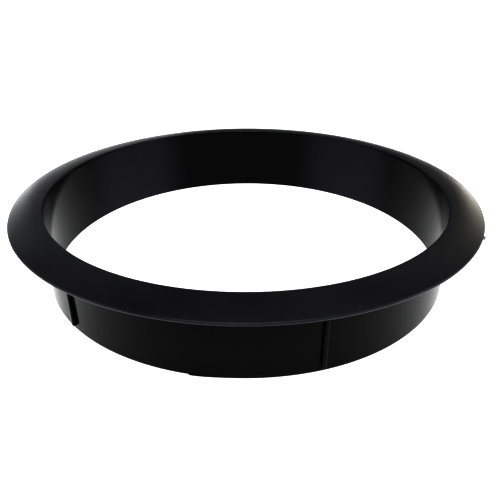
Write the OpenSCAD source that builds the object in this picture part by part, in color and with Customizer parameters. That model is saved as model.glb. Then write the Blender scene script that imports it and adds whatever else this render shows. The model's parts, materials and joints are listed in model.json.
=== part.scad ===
// Flange ring for a round cut-out: a low domed flange over a short open sleeve.
// Millimetres, +Z up. The origin is the centre of the sleeve's foot, and -Y is the front.
// The ring is one moulding. Its features are separate solids that meet face to face.

/* [Flange] */
// Outer diameter of the flange
flange_d = 178; // [170:1:190]
// Height of the crest above the seat, the flange's flat underside
crest_h = 3.0; // [2.6:0.1:4]
// Thickness of the full-round outer edge
edge_t = 1.2; // [0.8:0.1:1.3]
// Radial width of the outer edge ring
edge_band = 1.8; // [1.4:0.1:3]

/* [Opening] */
// Diameter of the bore, which runs straight from the foot up to the crest
bore_d = 153.7; // [152.4:0.1:154]
// Radius of the rounded crest around the opening
crest_round = 0.6; // [0.3:0.1:1]

/* [Sleeve] */
// Wall thickness of the sleeve
sleeve_wall = 1.75; // [1.4:0.05:1.9]
// Height of the seat above the foot
sleeve_h = 26.6; // [20:0.2:40]
// Chamfer on both edges of the foot
foot_chamfer = 0.3; // [0.1:0.1:0.6]

/* [Ribs] */
// Width of a rib
rib_w = 1.6; // [1:0.1:3]
// How far a rib stands out of the sleeve at the seat
rib_top = 1.0; // [0.6:0.05:2]
// How far a rib stands out of the sleeve at its lower end
rib_foot = 1.25; // [0.6:0.05:2.3]
// Height of the rib's lower end above the foot
rib_lift = 1.8; // [1:0.1:8]
// Direction of the front pair's middle, counter-clockwise from +X
pair_angle = -104.4; // [-180:0.1:180]
// Angle between the two ribs of a pair
pair_spread = 63; // [30:0.5:90]
// Angle from the front pair's middle to the rear pair's middle
rear_turn = 184.5; // [120:0.5:240]

/* [Gate] */
// Direction of the gate stub, counter-clockwise from +X
gate_angle = -27.6; // [-180:0.1:180]
// Width of the gate stub
gate_w = 2.0; // [1:0.1:4]
// How far the gate stub stands out of the edge
gate_out = 0.7; // [0.3:0.1:1]

/* [Hidden] */

$fn = 360;
arc_steps = 8;

flange_r = flange_d / 2;
bore_r = bore_d / 2;
crest_r = bore_r + crest_round;
sleeve_r = bore_r + sleeve_wall;
edge_r = edge_t / 2;

// Radii of the flat joints between the inner lip, the crown and the edge ring
crown_in_r = sleeve_r + 2.4;
crown_out_r = flange_r - edge_band;

seat_z = sleeve_h;
crest_z = seat_z + crest_h;

// The dome is an arc, level at the crest and tangent to the full-round edge.
dome_run = flange_r - edge_r - crest_r;
dome_fall = crest_h - edge_r;
dome_r = (dome_run ^ 2 + dome_fall ^ 2 - edge_r ^ 2) / (2 * (dome_fall - edge_r));
dome_cz = crest_z - dome_r;
edge_tangent = atan2(dome_r - dome_fall, dome_run);

shade_flange = [0.13, 0.13, 0.13];
shade_lip = [0.10, 0.10, 0.10];
shade_sleeve = [0.07, 0.07, 0.08];
shade_rib = [0.05, 0.05, 0.05];

// Points along an arc of radius r about [x, z], from angle a0 to angle a1
function arc(x, z, r, a0, a1) =
    [for (i = [0:arc_steps]) let (a = a0 + (a1 - a0) * i / arc_steps) [x + r * cos(a), z + r * sin(a)]];

// Angle on the dome's arc at which its radius from the ring's axis is x
function dome_angle(x) = acos((x - crest_r) / dome_r);

// Part of the dome's outline between two radii from the ring's axis
function dome(x0, x1) = arc(crest_r, dome_cz, dome_r, dome_angle(x0), dome_angle(x1));

// Solid of revolution of the flange's outer edge, also used to trim the gate stub
module edge_solid() {
    tangent_x = crest_r + dome_r * cos(edge_tangent);
    rotate_extrude()
        polygon(concat(
            [[crown_out_r, seat_z]],
            arc(flange_r - edge_r, seat_z + edge_r, edge_r, -90, edge_tangent),
            dome(tangent_x, crown_out_r)));
}

// Upright fin along +X, with its inner face shaped to the sleeve
module rib() {
    difference() {
        rotate([90, 0, 0])
            linear_extrude(rib_w, center = true)
                polygon([
                    [sleeve_r - 1, rib_lift],
                    [sleeve_r + rib_foot, rib_lift],
                    [sleeve_r + rib_top, seat_z],
                    [sleeve_r - 1, seat_z]]);
        cylinder(h = seat_z + 1, r = sleeve_r);
    }
}

// The first rib of a pair has side -1, and the second has side 1.
module paired_rib(pair_turn, side) {
    color(shade_rib)
        rotate(pair_angle + pair_turn + side * pair_spread / 2)
            rib();
}

module flange_crown() {
    color(shade_flange)
        rotate_extrude()
            polygon(concat(
                [[crown_in_r, seat_z], [crown_out_r, seat_z]],
                dome(crown_out_r, crown_in_r)));
}

module flange_edge() {
    color(shade_flange)
        edge_solid();
}

module inner_lip() {
    color(shade_lip)
        rotate_extrude()
            polygon(concat(
                [[bore_r, seat_z], [crown_in_r, seat_z]],
                dome(crown_in_r, crest_r),
                arc(crest_r, crest_z - crest_round, crest_round, 90, 180)));
}

module sleeve() {
    color(shade_sleeve)
        rotate_extrude()
            polygon([
                [bore_r + foot_chamfer, 0],
                [sleeve_r - foot_chamfer, 0],
                [sleeve_r, foot_chamfer],
                [sleeve_r, seat_z],
                [bore_r, seat_z],
                [bore_r, foot_chamfer]]);
}

module rib_front_left() {
    paired_rib(0, -1);
}

module rib_front_right() {
    paired_rib(0, 1);
}

module rib_rear_right() {
    paired_rib(rear_turn, -1);
}

module rib_rear_left() {
    paired_rib(rear_turn, 1);
}

module gate_stub() {
    stub_h = edge_t * 0.6;
    color(shade_flange)
        difference() {
            rotate(gate_angle)
                translate([flange_r - edge_r, -gate_w / 2, seat_z + (edge_t - stub_h) / 2])
                    cube([edge_r + gate_out, gate_w, stub_h]);
            edge_solid();
        }
}

flange_crown();
flange_edge();
inner_lip();
sleeve();
rib_front_left();
rib_front_right();
rib_rear_right();
rib_rear_left();
gate_stub();
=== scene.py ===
"""Looks of a moulded black flange ring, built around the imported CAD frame. Metres, +Z up, -Y is the front."""

import json
import math

import bmesh
import bpy
from mathutils import Matrix, Vector, noise

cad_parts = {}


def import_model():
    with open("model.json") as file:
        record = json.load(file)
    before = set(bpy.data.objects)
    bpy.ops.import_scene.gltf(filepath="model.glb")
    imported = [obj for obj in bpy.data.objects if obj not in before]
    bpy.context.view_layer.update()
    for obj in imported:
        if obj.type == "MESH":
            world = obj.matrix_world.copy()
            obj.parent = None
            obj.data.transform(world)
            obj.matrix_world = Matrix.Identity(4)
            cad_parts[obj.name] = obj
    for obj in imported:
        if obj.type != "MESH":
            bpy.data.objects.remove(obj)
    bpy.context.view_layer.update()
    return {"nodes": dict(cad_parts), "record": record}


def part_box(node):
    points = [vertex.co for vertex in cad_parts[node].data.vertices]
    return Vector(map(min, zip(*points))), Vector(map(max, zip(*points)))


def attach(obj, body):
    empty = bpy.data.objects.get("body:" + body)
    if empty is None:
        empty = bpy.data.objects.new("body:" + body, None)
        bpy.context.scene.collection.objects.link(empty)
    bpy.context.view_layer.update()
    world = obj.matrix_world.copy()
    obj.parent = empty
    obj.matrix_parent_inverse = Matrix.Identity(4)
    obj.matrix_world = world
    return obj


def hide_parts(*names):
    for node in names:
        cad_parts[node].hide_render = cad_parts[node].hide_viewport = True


MM = 0.001
TOUCH = 1e-6  # points closer than this count as level with each other

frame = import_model()
record = frame["record"]


# ---------------------------------------------------------------- sizes, all from the frame


def rings(node):
    """(distance from the axis, height) of every vertex of a CAD node."""
    return [(math.hypot(v.co.x, v.co.y), v.co.z) for v in frame["nodes"][node].data.vertices]


def mount(name):
    """The record's mount of that name."""
    return next(m for m in record["mounts"] if m["name"] == name)


seat_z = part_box("flange_edge")[0].z
crest_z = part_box("inner_lip")[1].z

flange_r = max(r for r, z in rings("flange_edge"))
crown_out_r = max(r for r, z in rings("flange_crown"))
crown_in_r = max(r for r, z in rings("inner_lip"))
crest_r = min(r for r, z in rings("inner_lip") if z > crest_z - TOUCH)
bore_r = mount("bore")["dims"]["r_mm"] * MM
sleeve_r = max(r for r, z in rings("sleeve"))
edge_r = flange_r - max(r for r, z in rings("flange_edge") if z < seat_z + TOUCH)

# The same dome as in the CAD model: an arc, level at the crest and tangent to the round edge
dome_run = flange_r - edge_r - crest_r
dome_fall = crest_z - seat_z - edge_r
dome_r = (dome_run**2 + dome_fall**2 - edge_r**2) / (2 * (dome_fall - edge_r))
dome_z = crest_z - dome_r
edge_tangent = math.atan2(dome_r - dome_fall, dome_run)
crest_round = crest_r - bore_r

RIBS = ("rib_front_left", "rib_front_right", "rib_rear_right", "rib_rear_left")


def direction(node):
    """Direction of a CAD node from the axis, counter-clockwise from +X."""
    low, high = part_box(node)
    middle = (low + high) / 2
    return math.atan2(middle.y, middle.x)


rib_turns = {node: direction(node) for node in RIBS}
gate_turn = direction("gate_stub")

# Small marks of the moulding, as directions from the axis, counter-clockwise from +X
streak_turn = math.radians(-9)
flash_start, flash_end = math.radians(-102.3), math.radians(-92)


# ---------------------------------------------------------------- smooth steps


def apart(a, b):
    """Signed angle from b to a, between -pi and pi."""
    return (a - b + math.pi) % math.tau - math.pi


def hump(distance, width):
    """1 at the middle, falling smoothly to 0 at half the width."""
    t = min(1.0, abs(distance) / (width / 2))
    return (1 - t * t) ** 2


def ease(value, low, high):
    """0 at low and 1 at high, smooth between."""
    t = min(1.0, max(0.0, (value - low) / (high - low)))
    return t * t * (3 - 2 * t)


# ---------------------------------------------------------------- outlines


def arc(x, z, radius, start, end, count):
    """Points on an arc about (x, z), as corners without a fillet."""
    steps = [start + (end - start) * i / count for i in range(count + 1)]
    return [(x + radius * math.cos(a), z + radius * math.sin(a), 0.0) for a in steps]


def dome(x0, x1, count):
    """Points on the dome between two radii from the ring's axis."""
    start, end = (math.acos((x - crest_r) / dome_r) for x in (x0, x1))
    return arc(crest_r, dome_z, dome_r, start, end, count)


def rounded(corners, arc_count=6):
    """Closed outline through (x, z, fillet radius) corners, with an arc at each corner that has a radius."""
    outline = []
    for i, (x, z, radius) in enumerate(corners):
        here = Vector((x, z))
        if not radius:
            outline.append(here)
            continue
        before = Vector(corners[i - 1][:2]) - here
        after = Vector(corners[(i + 1) % len(corners)][:2]) - here
        half = before.angle(after) / 2
        reach = radius / math.tan(half)
        centre = here + (before.normalized() + after.normalized()).normalized() * (radius / math.sin(half))
        first = here + before.normalized() * reach - centre
        last = here + after.normalized() * reach - centre
        sweep = first.angle_signed(last)
        start = math.atan2(first.y, first.x)
        for k in range(arc_count + 1):
            a = start - sweep * k / arc_count
            outline.append(centre + radius * Vector((math.cos(a), math.sin(a))))
    return outline


def subdivided(outline, longest):
    """The outline with extra points so that no stretch is longer than that."""
    points = []
    for i, here in enumerate(outline):
        after = outline[(i + 1) % len(outline)]
        count = max(1, math.ceil((after - here).length / longest))
        points += [here.lerp(after, k / count) for k in range(count)]
    return points


# ---------------------------------------------------------------- meshes


def turns(features=(), coarse=math.radians(0.6), fine=math.radians(0.08), spread=math.radians(1.8)):
    """Angles round the ring, closer together near the features."""
    count = round(math.tau / coarse)
    angles = {round(i * math.tau / count, 6) for i in range(count)}
    for feature in features:
        middle = feature % math.tau
        near = [middle + fine * k for k in range(-round(spread / fine), round(spread / fine) + 1)]
        angles = {a for a in angles if abs(apart(a, middle)) > spread + fine / 2}
        angles |= {round(a % math.tau, 6) for a in near}
    return sorted(angles)


def finish_mesh(name, mesh, crease_deg=32):
    """An object from a mesh, shaded smooth except across real edges."""
    mesh.validate()
    mesh.polygons.foreach_set("use_smooth", [True] * len(mesh.polygons))
    mesh.set_sharp_from_angle(angle=math.radians(crease_deg))
    piece = bpy.data.objects.new(name, mesh)
    bpy.context.scene.collection.objects.link(piece)
    return piece


def lathe(name, outline, angles, shift=None):
    """Closed ring with that outline. shift(angle, x, z) may move a point by (dx, dz)."""
    verts = []
    for a in angles:
        for x, z in outline:
            dx, dz = shift(a, x, z) if shift else (0.0, 0.0)
            verts.append(((x + dx) * math.cos(a), (x + dx) * math.sin(a), z + dz))
    n, m = len(outline), len(angles)
    faces = []
    for i in range(m):
        for k in range(n):
            j, l = (i + 1) % m, (k + 1) % n
            faces.append((i * n + k, j * n + k, j * n + l, i * n + l))
    mesh = bpy.data.meshes.new(name)
    mesh.from_pydata(verts, [], faces)
    bm = bmesh.new()
    bm.from_mesh(mesh)
    bmesh.ops.recalc_face_normals(bm, faces=bm.faces)
    bm.to_mesh(mesh)
    bm.free()
    return finish_mesh(name, mesh)


# ---------------------------------------------------------------- materials


COAT_ROUGHNESS = 0.42
GRAIN_DEPTH = 0.04 * MM
CLOUD_SPREAD = 0.3, 0.7  # the range of a noise texture that carries most of its variation
UNEVEN_SHEEN = 0.04
SCUFFED_SHEEN = 0.10
DARKEST, LIGHTEST = 0.75, 1.35  # of a material's colour

# Half the width of a painted highlight band on the bore's wall, in degrees, and its colour. The band stands in
# for a side lamp's soft reflection.
PAINTED_HIGHLIGHT_HALF_DEG = 22
PAINTED_HIGHLIGHT_COLOUR = (0.022, 0.022, 0.027)


def plastic(name, colour, specular, roughness, grain, marks, haze=0.0, painted_highlights=()):
    """Moulded plastic: fine grain, uneven sheen, faint flow streaks and a few light rub marks.

    haze adds a soft reflection over the sharp one. On the real ring the bands may be haze on the plastic or
    only a reflection. The directions in the last argument, in degrees counter-clockwise from +X, are where the
    bore's wall is painted greyer in an upright band. This is a painted highlight that stands in for the soft
    reflection of a side lamp, not a mark on the plastic.
    """
    material = bpy.data.materials.new(name)
    material.use_nodes = True
    nodes, links = material.node_tree.nodes, material.node_tree.links
    shader = nodes["Principled BSDF"]
    shader.inputs["Specular IOR Level"].default_value = specular
    shader.inputs["Coat Weight"].default_value = haze
    shader.inputs["Coat Roughness"].default_value = COAT_ROUGHNESS
    place = nodes.new("ShaderNodeTexCoord").outputs["Object"]

    def cloudy(scale, detail, stretch=(1, 1, 1)):
        mapping = nodes.new("ShaderNodeMapping")
        mapping.inputs["Scale"].default_value = stretch
        links.new(place, mapping.inputs["Vector"])
        texture = nodes.new("ShaderNodeTexNoise")
        texture.inputs["Scale"].default_value = scale
        texture.inputs["Detail"].default_value = detail
        links.new(mapping.outputs["Vector"], texture.inputs["Vector"])
        return texture.outputs["Fac"]

    def ramp(source, low, high, value_low, value_high, interpolation="LINEAR"):
        node = nodes.new("ShaderNodeMapRange")
        node.interpolation_type = interpolation
        node.inputs["From Min"].default_value = low
        node.inputs["From Max"].default_value = high
        node.inputs["To Min"].default_value = value_low
        node.inputs["To Max"].default_value = value_high
        links.new(source, node.inputs["Value"])
        return node.outputs["Result"]

    def join(operation, a, b):
        node = nodes.new("ShaderNodeMath")
        node.operation = operation
        links.new(a, node.inputs[0])
        links.new(b, node.inputs[1])
        return node.outputs["Value"]

    def vector_math(operation, vector, other=(0, 0, 0)):
        node = nodes.new("ShaderNodeVectorMath")
        node.operation = operation
        links.new(vector, node.inputs[0])
        node.inputs[1].default_value = other
        return node.outputs

    clouds = cloudy(22, 3)
    streaks = cloudy(60, 4, stretch=(1, 1, 0.12))
    scuffs = ramp(cloudy(140, 5, stretch=(1, 1, 3)), 0.66, 0.78, 0, 1)

    tone = join("ADD", ramp(clouds, *CLOUD_SPREAD, 0.0, 0.6), ramp(streaks, *CLOUD_SPREAD, 0.0, 0.4))
    tone = join("MAXIMUM", tone, ramp(scuffs, 0, 1, 0, marks))
    mix = nodes.new("ShaderNodeMix")
    mix.data_type = "RGBA"
    mix.inputs["A"].default_value = (*[c * DARKEST for c in colour], 1)
    mix.inputs["B"].default_value = (*[c * LIGHTEST for c in colour], 1)
    links.new(tone, mix.inputs["Factor"])
    coloured = mix.outputs["Result"]

    # Painted highlight: each direction greys an upright band of the bore's wall, standing in for a side lamp's
    # soft reflection
    for degrees in painted_highlights:
        a = math.radians(degrees)
        flat = vector_math("MULTIPLY", place, (1, 1, 0))["Vector"]
        radius = vector_math("LENGTH", flat)["Value"]
        outward = vector_math("NORMALIZE", flat)["Vector"]
        ahead = vector_math("DOT_PRODUCT", outward, (math.cos(a), math.sin(a), 0))["Value"]
        band = ramp(ahead, math.cos(math.radians(PAINTED_HIGHLIGHT_HALF_DEG)), 1, 0, 1, "SMOOTHSTEP")
        inside = ramp(radius, (bore_r + sleeve_r) / 2, bore_r + 0.1 * MM, 0, 1)
        painted_highlight = nodes.new("ShaderNodeMix")
        painted_highlight.data_type = "RGBA"
        links.new(join("MULTIPLY", band, inside), painted_highlight.inputs["Factor"])
        links.new(coloured, painted_highlight.inputs["A"])
        painted_highlight.inputs["B"].default_value = (*PAINTED_HIGHLIGHT_COLOUR, 1)
        coloured = painted_highlight.outputs["Result"]
    links.new(coloured, shader.inputs["Base Color"])

    smooth = ramp(clouds, *CLOUD_SPREAD, roughness - UNEVEN_SHEEN, roughness + UNEVEN_SHEEN)
    sheen = join("ADD", smooth, ramp(scuffs, 0, 1, 0, SCUFFED_SHEEN))
    links.new(sheen, shader.inputs["Roughness"])

    bump = nodes.new("ShaderNodeBump")
    bump.inputs["Strength"].default_value = grain
    bump.inputs["Distance"].default_value = GRAIN_DEPTH
    links.new(cloudy(2600, 2), bump.inputs["Height"])
    links.new(bump.outputs["Normal"], shader.inputs["Normal"])
    return material


FLANGE = plastic(
    "flange_plastic_satin", (0.022, 0.022, 0.0240), specular=0.25, roughness=0.34, grain=0.55, marks=0.9)
# The sleeve is darker and less reflective than real plastic, which suits the contrast look set below. The two
# directions given for its bore place painted highlight bands that stand in for lamp reflections.
SLEEVE = plastic(
    "sleeve_plastic_smooth", (0.0045, 0.0045, 0.0052), specular=0.09, roughness=0.14, grain=0.08, marks=0.9,
    haze=0.08, painted_highlights=(136, 49))
TORN = plastic(
    "torn_gate", (0.16, 0.16, 0.17), specular=0.30, roughness=0.65, grain=0.80, marks=0.9)


def dress(piece, node, materials):
    """Puts a piece in a CAD node's place, with its materials."""
    for material in materials:
        piece.data.materials.append(material)
    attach(piece, "root")
    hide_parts(node)
    return piece


# ---------------------------------------------------------------- the flange


def streak(a, x, z):
    """Shallow radial streak in the dome, deepest at the outer edge."""
    width, depth, start, full = 0.7 * MM, 0.05 * MM, 5 * MM, 2 * MM
    above = ease(z, seat_z + edge_r, seat_z + 2 * edge_r)
    reach = ease(x, flange_r - start, flange_r - full)
    return -depth * above * reach * hump(apart(a, streak_turn) * flange_r, width)


def flange_crown():
    """Domed annular plate, with shallow ejector pin marks on its hidden underside."""
    pin_count, pin_width, pin_depth = 8, 3.0 * MM, 0.12 * MM
    pin_blend = 0.1 * MM
    pin_r = (crown_in_r + crown_out_r) / 2
    pins = [math.tau * (i + 0.5) / pin_count for i in range(pin_count)]
    corners = [(crown_in_r, seat_z, 0), (crown_out_r, seat_z, 0), *dome(crown_out_r, crown_in_r, 20)]

    def shift(a, x, z):
        if z > seat_z + TOUCH:
            return 0, streak(a, x, z)
        nearest = min(abs(apart(a, pin)) for pin in pins)
        away = math.hypot(x * math.cos(nearest) - pin_r, x * math.sin(nearest))
        return 0, pin_depth * ease(away, pin_width / 2 + pin_blend, pin_width / 2 - pin_blend)

    angles = turns([streak_turn, *pins], fine=math.radians(0.1))
    return lathe("crown", subdivided(rounded(corners), 0.25 * MM), angles, shift)


def flange_edge():
    """Full-round outer edge, with the fine ridge of the mould's parting line around it."""
    ridge_width, ridge_height = 0.25 * MM, 0.05 * MM
    round_r, parting_z = flange_r - edge_r, seat_z + edge_r
    tangent_r = crest_r + dome_r * math.cos(edge_tangent)
    corners = [
        (crown_out_r, seat_z, 0),
        *arc(round_r, parting_z, edge_r, -math.pi / 2, edge_tangent, 36),
        *dome(tangent_r, crown_out_r, 5)[1:],
    ]

    def shift(a, x, z):
        outward = max(0.0, (x - round_r) / edge_r)  # 1 at the outermost point
        return -ridge_height * outward * (1 - hump(z - parting_z, ridge_width)), streak(a, x, z)

    return lathe("outer_edge", rounded(corners), turns([gate_turn, streak_turn]), shift)


def inner_lip():
    """Rounded crest around the opening: satin on top, glossy on the bore's side."""
    corners = [
        (bore_r, seat_z, 0),
        (crown_in_r, seat_z, 0),
        *dome(crown_in_r, crest_r, 9),
        *arc(crest_r, crest_z - crest_round, crest_round, math.pi / 2, math.pi, 10)[1:],
    ]
    piece = lathe("lip", subdivided(rounded(corners), 0.8 * MM), turns(rib_turns.values()))
    satin_share = 0.85  # of the crest's rounding, from its top inwards
    glossy_r = crest_r - satin_share * crest_round
    for face in piece.data.polygons:
        face.material_index = int(math.hypot(face.center.x, face.center.y) < glossy_r)
    return piece


# ---------------------------------------------------------------- the sleeve


def sleeve():
    """Upright wall: a fillet under the flange, sink marks inside behind the ribs, flash on the foot."""
    foot_round, root_round = 0.35 * MM, 0.6 * MM
    corners = [
        (bore_r, 0, foot_round),
        (sleeve_r, 0, foot_round),
        *arc(sleeve_r + root_round, seat_z - root_round, root_round, math.pi, math.pi / 2, 8),
        (bore_r, seat_z, 0),
    ]
    sink_width, sink_depth = 2.4 * MM, 0.05 * MM
    flash_reach, flash_height = 0.45 * MM, 0.8 * MM

    def shift(a, x, z):
        if x < bore_r + TOUCH:
            return sink_depth * sum(hump(apart(a, t) * bore_r, sink_width) for t in rib_turns.values()), 0
        if x > sleeve_r - foot_round and apart(a, flash_start) > 0:
            fade = 1 - ease(apart(a, flash_start), 0, flash_end - flash_start)
            return flash_reach * fade * (z < flash_height), 0
        return 0, 0

    outline = subdivided(rounded(corners), 0.8 * MM)
    return lathe("sleeve_wall", outline, turns([*rib_turns.values(), flash_start]), shift)


def rib(node):
    """Upright fin with rounded outer edges, its root sunk a little way into the wall."""
    sunk, edge_round = 0.3 * MM, 0.5 * MM
    turn = Matrix.Rotation(rib_turns[node], 3, "Z")
    points = [turn.inverted() @ v.co for v in frame["nodes"][node].data.vertices]
    low_z = min(z for x, y, z in points)
    half = max(y for x, y, z in points)
    reach_low = max(x for x, y, z in points if z < low_z + TOUCH)
    reach_top = max(x for x, y, z in points if z > seat_z - TOUCH)
    bm = bmesh.new()
    root = sleeve_r - sunk
    cross = [(root, -half), (root, half)]
    bottom = [bm.verts.new((x, y, low_z)) for x, y in (*cross, (reach_low, half), (reach_low, -half))]
    top = [bm.verts.new((x, y, seat_z)) for x, y in (*cross, (reach_top, half), (reach_top, -half))]
    bm.faces.new(bottom)
    bm.faces.new(top[::-1])
    for i in range(4):
        j = (i + 1) % 4
        bm.faces.new((bottom[j], bottom[i], top[i], top[j]))
    bmesh.ops.recalc_face_normals(bm, faces=bm.faces)

    def is_rounded(edge):
        """The outer upright edges and those of the lower end, but none against the seat."""
        outside = [v.co.x > sleeve_r for v in edge.verts]
        low = all(v.co.z < low_z + TOUCH for v in edge.verts)
        high = all(v.co.z > seat_z - TOUCH for v in edge.verts)
        return (all(outside) or (low and any(outside))) and not high

    outer = [edge for edge in bm.edges if is_rounded(edge)]
    bmesh.ops.bevel(bm, geom=outer, offset=edge_round, segments=6, profile=0.5, affect="EDGES")
    bmesh.ops.rotate(bm, verts=bm.verts, cent=(0, 0, 0), matrix=turn)
    mesh = bpy.data.meshes.new(node)
    bm.to_mesh(mesh)
    bm.free()
    return finish_mesh("outer_" + node, mesh)


def gate_stub():
    """Broken-off gate on the outer edge, with a torn face."""
    turn = Matrix.Rotation(gate_turn, 3, "Z")
    low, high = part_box("gate_stub")
    middle_z, height = (low.z + high.z) / 2, high.z - low.z
    along = [turn.inverted() @ v.co for v in frame["nodes"]["gate_stub"].data.vertices]
    width = max(v.y for v in along) - min(v.y for v in along)
    sunk, taper, tear = 0.25 * MM, 0.3, 0.12 * MM
    root, tip = flange_r - sunk, max(v.x for v in along)
    bm = bmesh.new()
    bmesh.ops.create_cube(bm, size=1)
    bmesh.ops.subdivide_edges(bm, edges=bm.edges, cuts=11, use_grid_fill=True)
    for v in bm.verts:
        out = v.co.x + 0.5  # 0 at the root, 1 at the torn face
        slim = 1 - taper * out
        torn = tear * out * (noise.noise(Vector((0, v.co.y * 7, v.co.z * 4))) - 1)
        v.co = Vector((
            root + (tip - root) * out + torn,
            v.co.y * width * slim,
            middle_z + v.co.z * height * slim,
        ))
    bmesh.ops.rotate(bm, verts=bm.verts, cent=(0, 0, 0), matrix=turn)
    mesh = bpy.data.meshes.new("gate")
    bm.to_mesh(mesh)
    bm.free()
    return finish_mesh("gate_mark", mesh)


dress(flange_crown(), "flange_crown", [FLANGE])
dress(flange_edge(), "flange_edge", [FLANGE])
dress(inner_lip(), "inner_lip", [FLANGE, SLEEVE])
dress(sleeve(), "sleeve", [SLEEVE])
for rib_node in RIBS:
    dress(rib(rib_node), rib_node, [SLEEVE])
dress(gate_stub(), "gate_stub", [TORN])


# ---------------------------------------------------------------- floor, light and camera


def floor(middle, sides):
    """Large plain white floor. It glows, and more strongly beyond a strip along the ring's middle."""
    half, strip, full = 6.0, 0.02, 0.14
    mesh = bpy.data.meshes.new("floor")
    corners = [(-half, -half, 0), (half, -half, 0), (half, half, 0), (-half, half, 0)]
    mesh.from_pydata(corners, [], [(0, 1, 2, 3)])
    piece = bpy.data.objects.new("floor", mesh)
    bpy.context.scene.collection.objects.link(piece)
    material = bpy.data.materials.new("floor_paper")
    material.use_nodes = True
    shader = material.node_tree.nodes["Principled BSDF"]
    shader.inputs["Base Color"].default_value = (0.8, 0.8, 0.8, 1)
    shader.inputs["Roughness"].default_value = 0.9
    shader.inputs["Specular IOR Level"].default_value = 0.1
    nodes, links = material.node_tree.nodes, material.node_tree.links
    place = nodes.new("ShaderNodeSeparateXYZ")
    links.new(nodes.new("ShaderNodeTexCoord").outputs["Object"], place.inputs["Vector"])
    across = nodes.new("ShaderNodeMath")
    across.operation = "ABSOLUTE"
    links.new(place.outputs["X"], across.inputs[0])
    glow = nodes.new("ShaderNodeMapRange")
    glow.interpolation_type = "SMOOTHSTEP"
    glow.inputs["From Min"].default_value = strip
    glow.inputs["From Max"].default_value = full
    glow.inputs["To Min"].default_value = middle
    glow.inputs["To Max"].default_value = sides
    links.new(across.outputs["Value"], glow.inputs["Value"])
    shader.inputs["Emission Color"].default_value = (1, 1, 1, 1)
    links.new(glow.outputs["Result"], shader.inputs["Emission Strength"])
    mesh.materials.append(material)


def panel(name, azimuth, elevation, size, radiance, colour=(1, 1, 1)):
    """Soft light panel that faces the ring. Azimuth is from the front (-Y) towards +X, in degrees."""
    distance, aim = 1.0, Vector((0, 0, 0.02))
    a, e = math.radians(azimuth), math.radians(elevation)
    away = Vector((math.sin(a) * math.cos(e), -math.cos(a) * math.cos(e), math.sin(e)))
    lamp = bpy.data.lights.new(name, "AREA")
    lamp.shape = "RECTANGLE"
    lamp.size, lamp.size_y = size
    lamp.energy = radiance * math.pi * size[0] * size[1]
    lamp.color = colour
    holder = bpy.data.objects.new(name, lamp)
    holder.location = away * distance + aim
    holder.rotation_mode = "QUATERNION"
    holder.rotation_quaternion = (-away).to_track_quat("-Z", "Y")
    bpy.context.scene.collection.objects.link(holder)


def world(strength):
    """Dim even light from all round."""
    room = bpy.data.worlds.new("room")
    room.use_nodes = True
    shade = room.node_tree.nodes["Background"]
    shade.inputs["Color"].default_value = (1, 1, 1, 1)
    shade.inputs["Strength"].default_value = strength
    bpy.context.scene.world = room


def camera():
    """Camera in front of the ring, looking down at it by 28.7 degrees from 2.4 flange radii away."""
    tilt = math.radians(28.70)
    right, back, above = 0.0155, 2.186, 0.899  # in flange radii from the middle of the seat
    data = bpy.data.cameras.new("camera")
    data.sensor_width = 36
    data.lens = 37.5
    holder = bpy.data.objects.new("camera", data)
    holder.location = (right * flange_r, -back * flange_r, seat_z + above * flange_r)
    holder.rotation_euler = (math.pi / 2 - tilt, 0, 0)
    bpy.context.scene.collection.objects.link(holder)
    bpy.context.scene.camera = holder


# The lamps are tuned for the camera's view. From the sides and behind, the ring comes out nearly black.
warm, cool = (1.0, 0.97, 0.84), (0.97, 0.98, 1.0)
floor(middle=0.48, sides=1.02)
world(strength=0.136)
panel("back_left", -157, 6, (0.5, 0.25), 0.65)
panel("low_left", -139, 3, (0.25, 0.2), 3.8, cool)
panel("low_right", 140, 3, (0.25, 0.2), 5.8, warm)
panel("side_left", -69, 24, (0.35, 0.3), 3.4, cool)
panel("side_right", 76, 24, (0.35, 0.3), 4.5)
panel("front_top", 0, 60, (0.8, 0.8), 3.05, cool)
camera()
bpy.context.scene.view_settings.view_transform = "Standard"
bpy.context.scene.view_settings.look = "Very High Contrast"
